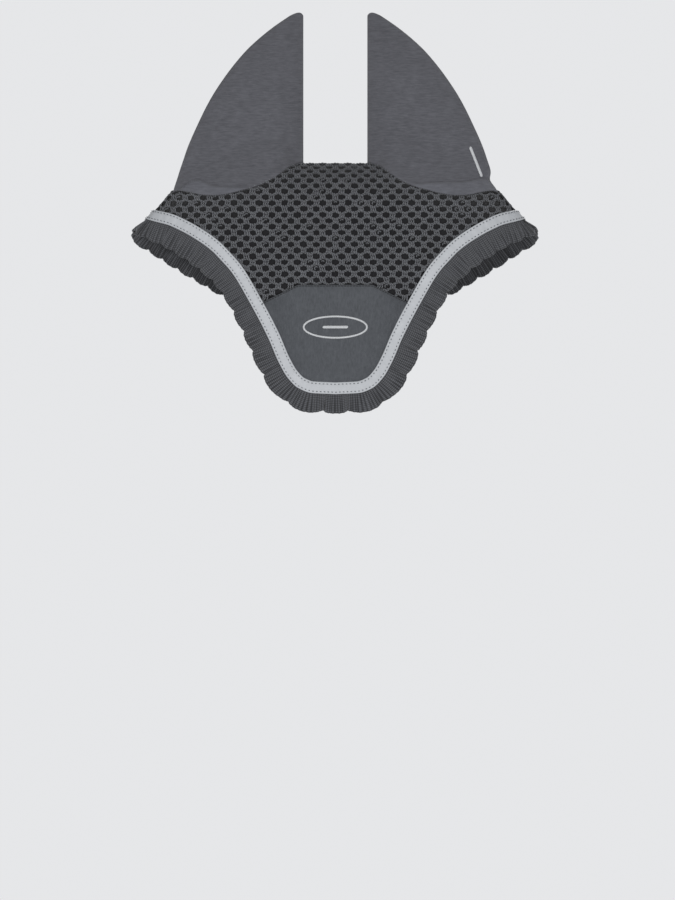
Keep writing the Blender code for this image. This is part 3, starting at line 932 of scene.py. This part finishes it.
def panel_surface(inset, height, puff):
    def place(u, v):
        x = (2 * u - 1) * (panel_corner - inset)
        top = panel_top_z(x) - inset
        bottom = np.minimum(top - 0.0002, front_seam_z(x) + 0.0005 + inset)
        z = top + v * (bottom - top)
        rim = np.minimum(1.0, (top - z) / 0.0035)
        slope = (front_seam_z(x + 0.0005) - front_seam_z(x - 0.0005)) / 0.001
        side_rim = ((z - bottom) / np.sqrt(1 + slope**2) - 0.0070) / 0.0060
        soft = puff * np.sqrt(np.clip(rim, 0, 1)) * ease(side_rim)
        hem = 0.0004 * np.exp(-((((top - z) - 0.0042) / 0.0012) ** 2))
        slack = 0.00045 * np.sin(63 * x + 20 * z) * np.sin(51 * z + 1.0)
        return front(x, z, height + soft - hem + slack * ease(side_rim))

    return place


panel = grid("forehead_panel", 150, 110, panel_surface(0.0, 0.0031, 0.0012), flip=True)
panel.data.materials.append(panel_cloth)
thicken(panel, 0.0010)
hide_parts("panel")
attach(panel, "forehead_flap")

felt = grid("panel_felt_pad", 60, 40, panel_surface(0.0015, 0.0012, 0.0), flip=True)
felt.data.materials.append(felt_cloth)
thicken(felt, 0.0022)
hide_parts("panel_felt")
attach(felt, "forehead_flap")

row_x = np.linspace(-panel_corner + 0.006, panel_corner - 0.006, 500)
row_z = panel_top_z(row_x) - 0.0014
row_line = front(row_x, row_z, 0.0046)
row_normals = crown_normal(turn_at(row_x, row_z), row_z)
top_row = threads(
    "panel_top_stitches", dashes(row_line, row_normals, 0.0036, 0.0026, 0.00050, 0.0), 0.00050
)
top_row.data.materials.append(grey_thread)
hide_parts("panel_stitch")
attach(top_row, "forehead_flap")

# ------------------------------------------------------------------------------
# Embroidery: a long oval in raised white satin stitch with a short plain bar inside it.
# Each thread runs straight across its band.
# ------------------------------------------------------------------------------

badge_z = -0.1970
badge_face = 0.0050
oval_half_length = 0.0378
oval_half_height = 0.0128
bar_half_length = 0.0150
bar_half_height = 0.0018
thread_step = 0.00046


def satin(x, z, across_x, across_z):
    """A thread centred on (x, z) that reaches (across_x, across_z) to either side."""
    across = np.linspace(-1, 1, 5)
    xs, zs = x + across_x * across, z + across_z * across
    lift = badge_face + 0.0011 * np.sqrt(1 - 0.92 * across**2)
    return front(xs, zs, lift), crown_normal(turn_at(xs, zs), zs)


badge_paths = []
angle = 0.0
while angle < 2 * math.pi:
    tangent = np.array(
        [-oval_half_length * math.sin(angle), oval_half_height * math.cos(angle)]
    )
    speed = float(np.linalg.norm(tangent))
    half_band = 0.0012 * np.array([tangent[1], -tangent[0]]) / speed
    slant = 0.0004 * tangent / speed
    x = oval_half_length * math.cos(angle)
    z = badge_z + oval_half_height * math.sin(angle)
    badge_paths.append(satin(x, z, half_band[0] + slant[0], half_band[1] + slant[1]))
    angle += thread_step / speed
for x in np.arange(-bar_half_length, bar_half_length + 0.0001, thread_step):
    end = math.sqrt(max(0.0, 1 - max(0.0, abs(x) - 0.0134) ** 2 / bar_half_height**2))
    badge_paths.append(satin(x, badge_z, 0.0003, bar_half_height * max(0.3, end)))

white_thread = cloth(
    "white_satin_thread", (0.62, 0.64, 0.67), (0.93, 0.94, 0.95), 0.38, ply, 700, 0.0001, 0.5, 0.1
)
badge = threads("oval_embroidery", badge_paths, 0.00030)
badge.data.materials.append(white_thread)
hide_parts("embroidery")
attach(badge, "forehead_flap")

# ------------------------------------------------------------------------------
# Fringe: a thick ribbed band gathered into rounded scallops, sewn all along the seam and
# round the side folds to the cheeks. The ribs run from the seam to the scalloped edge.
# ------------------------------------------------------------------------------

fringe_width = 0.0275
scallop_rise = 0.0054
fringe_flare = 0.0030
rib_pitch = 0.0026

front_share = np.sin(QUARTER * np.linspace(0, 1, 1500))
seam_x = half_span * front_share
seam_z = front_seam_z(seam_x)
seam_turn = turn_at(seam_x, seam_z)
rear_turn = np.linspace(QUARTER, cheek_turn, 1500)[1:]
half_turn = np.concatenate([seam_turn, rear_turn])
half_z = np.concatenate([seam_z, back_seam_z(rear_turn)])
whole_turn = np.concatenate([-half_turn[:0:-1], half_turn])
whole_z = np.concatenate([half_z[:0:-1], half_z])
seam_points = bare_crown(whole_turn, whole_z)
seam_steps = np.linalg.norm(np.diff(seam_points, axis=0), axis=1)
seam_along = np.concatenate([[0], np.cumsum(seam_steps)])
seam_length = seam_along[-1]


def along_seam(s, height):
    """(point, outward, normal) at lengths s along the seam, at a height over the crown."""
    turn = np.interp(s, seam_along, whole_turn)
    z = np.interp(s, seam_along, whole_z)
    small = 0.0015
    ahead = bare_crown(
        np.interp(s + small, seam_along, whole_turn), np.interp(s + small, seam_along, whole_z)
    ) - bare_crown(
        np.interp(s - small, seam_along, whole_turn), np.interp(s - small, seam_along, whole_z)
    )
    normal = crown_normal(turn, z)
    outward = unit(np.cross(ahead, normal))
    return crown(turn, z, height), outward, normal


middle_s = seam_length / 2
pitch_at = through([(0.0, 0.0295), (0.10, 0.0285), (0.20, 0.0245), (0.32, 0.0215), (0.5, 0.0205)])
notch_list = [middle_s + 0.0130]
while notch_list[-1] < seam_length:
    notch_list.append(notch_list[-1] + float(pitch_at(notch_list[-1] - middle_s)))
notch_half = np.array(notch_list)
notches = np.concatenate([2 * middle_s - notch_half[::-1], notch_half])
fold_s = float(np.interp(QUARTER, whole_turn, seam_along)) - middle_s


def fringe_place(u, v):
    s = u * seam_length
    index = np.clip(np.searchsorted(notches, s) - 1, 0, len(notches) - 2)
    left, right = notches[index], notches[index + 1]
    share = np.clip((s - left) / (right - left), 0, 1)
    upper = np.where(s < middle_s, share, 1 - share)
    bulge = np.sin(math.pi * upper**0.75)
    rib = np.abs(np.cos(math.pi * s / rib_pitch))
    wander = 0.9 * np.sin(61 * s + 0.7) + 0.7 * np.sin(143 * s)
    fold = np.abs(np.cos(math.pi * s / (2 * rib_pitch) + wander))
    point, outward, normal = along_seam(s, 0.0013)
    ahead = np.cross(normal, outward)
    steps = 0.0004 * (1 - rib) + 0.0004 * (1 - fold)
    beside = np.sin(math.pi * np.minimum(1.0, np.abs(2 * u - 1) * 2.4))
    from_wing = (np.abs(s - middle_s) / fold_s - 0.76) / 0.17
    reach = fringe_width + fringe_flare * beside**2 - 0.0024
    reach = reach + 0.0050 * np.exp(-(from_wing**2))
    reach = reach + scallop_rise * bulge**0.55 - steps
    fan = (share - 0.5) * 0.0022 * v**2
    lift = 0.00100 * rib**0.8 * (1 - 0.4 * v)
    lift = lift + 0.00190 * fold**0.7 * ease(v / 0.9)
    lift = lift + 0.0016 * v**1.5 * (bulge**0.8 - 0.35)
    curl = 0.0008 * v**3 * np.sin(2.1 * index + 1.0)
    rows = 0.00022 * np.sin(2 * math.pi * v * reach / 0.0022) * rib
    edge_round = -0.0007 * ease((v - 0.93) / 0.07)
    out = (v * reach)[:, None] * outward
    return point + out + ahead * fan[:, None] + normal * (
        lift + curl + rows + edge_round
    )[:, None]


def rib_group():
    """Fine purl rows across the ribs, Scale of them a metre. Shade is painted shade, dark in the
    valleys between ribs and rows and darkest where they cross.
    """
    group, given, out = effect("Ribbed knit", ["Height", "Shade"])
    along, across = uv_parts(group)
    rib = ridge(group, sums(group, "ADD", along, rib_pitch / 4), 1 / rib_pitch)
    row = ridge(group, sums(group, "MULTIPLY", across, given.outputs["Scale"]), 1.0)
    stitch = sums(group, "MULTIPLY", row, rib)
    rib_valley_shade = sums(group, "ADD", sums(group, "MULTIPLY", rib, 0.88), 0.12)
    row_valley_shade = sums(group, "ADD", sums(group, "MULTIPLY", row, 0.70), 0.30)
    group.links.new(stitch, out.inputs["Height"])
    group.links.new(sums(group, "MULTIPLY", rib_valley_shade, row_valley_shade), out.inputs["Shade"])
    return group


rib_knit = rib_group()
# the near-black dark end is painted shade in the valleys between ribs and rows
fringe_cloth = cloth(
    "ribbed_fringe", (0.002, 0.002, 0.003), (0.170, 0.176, 0.194), 0.9, rib_knit, 520, 0.0009, 0.90
)
rib_count = int(seam_length / rib_pitch)
fringe_size = (seam_length, fringe_width)
fringe = grid(
    "scalloped_fringe", rib_count * 6, 14, fringe_place, flip=True, size=fringe_size
)
fringe.data.materials.append(fringe_cloth)
thicken(fringe, 0.0016, 0.0)
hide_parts("fringe_left", "fringe_right", "fringe_nose")
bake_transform(fringe)

# ------------------------------------------------------------------------------
# Ribbon: a silver satin ribbon over the seam, one length from cheek to cheek, sewn down
# by two rows of small dark stitches.
# ------------------------------------------------------------------------------

ribbon_width = 0.0140
stitch_row = 0.0047  # from the ribbon's middle line to each row of stitches
stitch_pitch = 0.0046


def ribbon_place(u, v):
    s = u * seam_length
    point, outward, normal = along_seam(s, 0.0048)
    offset = (v - 0.5) * ribbon_width
    edge = np.abs(2 * v - 1)
    row_gap = (np.abs(offset) - stitch_row) / 0.0007
    pinched = 1 + 0.7 * np.cos(2 * math.pi * s / stitch_pitch)
    sewn = -0.00026 * np.exp(-(row_gap**2)) * pinched
    loose = 0.00022 * np.sin(2 * math.pi * s / 0.0205) * np.sin(math.pi * v)
    turned = -0.0004 * ease((edge - 0.86) / 0.14) + 0.00012 * np.sin(2 * math.pi * s / 0.0090)
    return point + outward * offset[:, None] + normal * (sewn + loose + turned)[:, None]


def ribbon_group():
    """Satin ribbon: fine ribs across its length, Scale of them a metre."""
    group, given, out = effect("Ribbon rib", ["Height", "Shade"])
    along, across = uv_parts(group)
    rib = ridge(group, sums(group, "MULTIPLY", along, given.outputs["Scale"]), 1.0)
    group.links.new(rib, out.inputs["Height"])
    group.links.new(rib, out.inputs["Shade"])
    return group


ribbon_rib = ribbon_group()
silver = cloth(
    "silver_satin", (0.480, 0.500, 0.527), (0.640, 0.661, 0.690), 0.42, ribbon_rib, 1100, 0.0001, 0.5
)
ribbon = grid("silver_ribbon", 900, 20, ribbon_place, flip=True)
ribbon.data.materials.append(silver)
thicken(ribbon, 0.0007)
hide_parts("ribbon_left", "ribbon_right", "ribbon_nose")
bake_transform(ribbon)

ribbon_thread = cloth(
    "ribbon_stitching", (0.022, 0.028, 0.040), (0.075, 0.086, 0.110), 0.5, ply, 700, 0.0001, 0.5
)
stitch_s = np.linspace(0.002, seam_length - 0.002, 3000)
for row_name, offset in (("inner", -stitch_row), ("outer", stitch_row)):
    point, outward, normal = along_seam(stitch_s, 0.0054)
    line = point + outward * offset
    stitches = dashes(line, normal, stitch_pitch, 0.0018, 0.00040, 0.0)
    row = threads("ribbon_stitches_" + row_name, stitches, 0.00040)
    row.data.materials.append(ribbon_thread)
    parts = ["stitch_%s_%s" % (row_name, part) for part in ("left", "right", "nose")]
    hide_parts(*parts)
    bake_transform(row)

# ------------------------------------------------------------------------------
# Ear mark: a slim bar of white satin stitch near the outer edge of one sleeve.
# ------------------------------------------------------------------------------

mark_low = np.array([0.1765, -0.0150])
mark_high = np.array([0.1625, 0.0210])
mark_ahead = (mark_high - mark_low) / np.linalg.norm(mark_high - mark_low)
mark_across = np.array([mark_ahead[1], -mark_ahead[0]])
sleeve = ears["left"].data
sleeve_skin = BVHTree.FromPolygons(
    [corner.co for corner in sleeve.vertices], [face.vertices for face in sleeve.polygons]
)
mark_paths = []
for share in np.linspace(0, 1, 84):
    middle = mark_low + (mark_high - mark_low) * share
    from_end = min(share, 1 - share) * np.linalg.norm(mark_high - mark_low)
    half = 0.0018 * math.sqrt(1 - max(0.0, 1 - from_end / 0.0018) ** 2 * 0.9)
    thread = []
    for across in np.linspace(-1, 1, 5):
        x, z = middle + (mark_across + 0.15 * mark_ahead) * half * across
        front_point = sleeve_skin.ray_cast(Vector((x, -1, z)), Vector((0, 1, 0)))[0]
        thread.append([x, front_point.y - 0.0003 - 0.0006 * math.sqrt(1 - 0.9 * across**2), z])
    mark_paths.append((np.array(thread), np.tile([0.0, -1.0, 0.0], (5, 1))))
mark = threads("ear_mark_bar", mark_paths, 0.00030)
mark.data.materials.append(white_thread)
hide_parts("ear_mark")
sleeve_bend(mark)

# ------------------------------------------------------------------------------
# Light and camera: a pale even background, a soft light in front to the left, a larger and
# stronger one low on the right, one behind, and a long lens level with the frame's middle.
# ------------------------------------------------------------------------------

world = bpy.data.worlds.new("Pale studio")
bpy.context.scene.world = world
world.use_nodes = True
sky = world.node_tree.nodes["Background"]
sky.inputs["Color"].default_value = (0.790, 0.797, 0.812, 1.0)
seen = world.node_tree.nodes.new("ShaderNodeLightPath")
dimmed = world.node_tree.nodes.new("ShaderNodeMapRange")
dimmed.inputs["To Min"].default_value = 0.46
dimmed.inputs["To Max"].default_value = 1.0
world.node_tree.links.new(seen.outputs["Is Camera Ray"], dimmed.inputs["Value"])
world.node_tree.links.new(dimmed.outputs["Result"], sky.inputs["Strength"])


def soft_light(name, place, aim, width, power):
    lamp = bpy.data.lights.new(name, "AREA")
    lamp.shape = "DISK"
    lamp.size = width
    lamp.energy = power
    made = link(name, lamp)
    made.location = place
    toward = np.array(aim, float) - np.array(place, float)
    yaw = math.atan2(toward[1], toward[0]) - QUARTER
    pitch = math.atan2(toward[2], math.hypot(toward[0], toward[1])) + QUARTER
    made.rotation_euler = (pitch, 0.0, yaw)
    return made


soft_light("key", (-0.9, -2.8, 0.20), (0, 0, -0.05), 0.8, 16)
soft_light("fill", (0.5, -2.8, -0.9), (0, 0, -0.05), 1.4, 29)
soft_light("back", (0.6, 2.4, 1.6), (0, 0, -0.05), 1.2, 30)

camera_data = bpy.data.cameras.new("camera")
camera_data.sensor_fit = "VERTICAL"
camera_data.sensor_height = 24.0
camera_data.lens = 12.0 / (0.540 / 8.0)
camera_data.clip_end = 50.0
camera = link("camera", camera_data)
camera.location = (0.0026, -8.045, -0.3444)
camera.rotation_euler = (QUARTER, 0.0, 0.0)
bpy.context.scene.camera = camera
bpy.context.scene.view_settings.view_transform = "Standard"
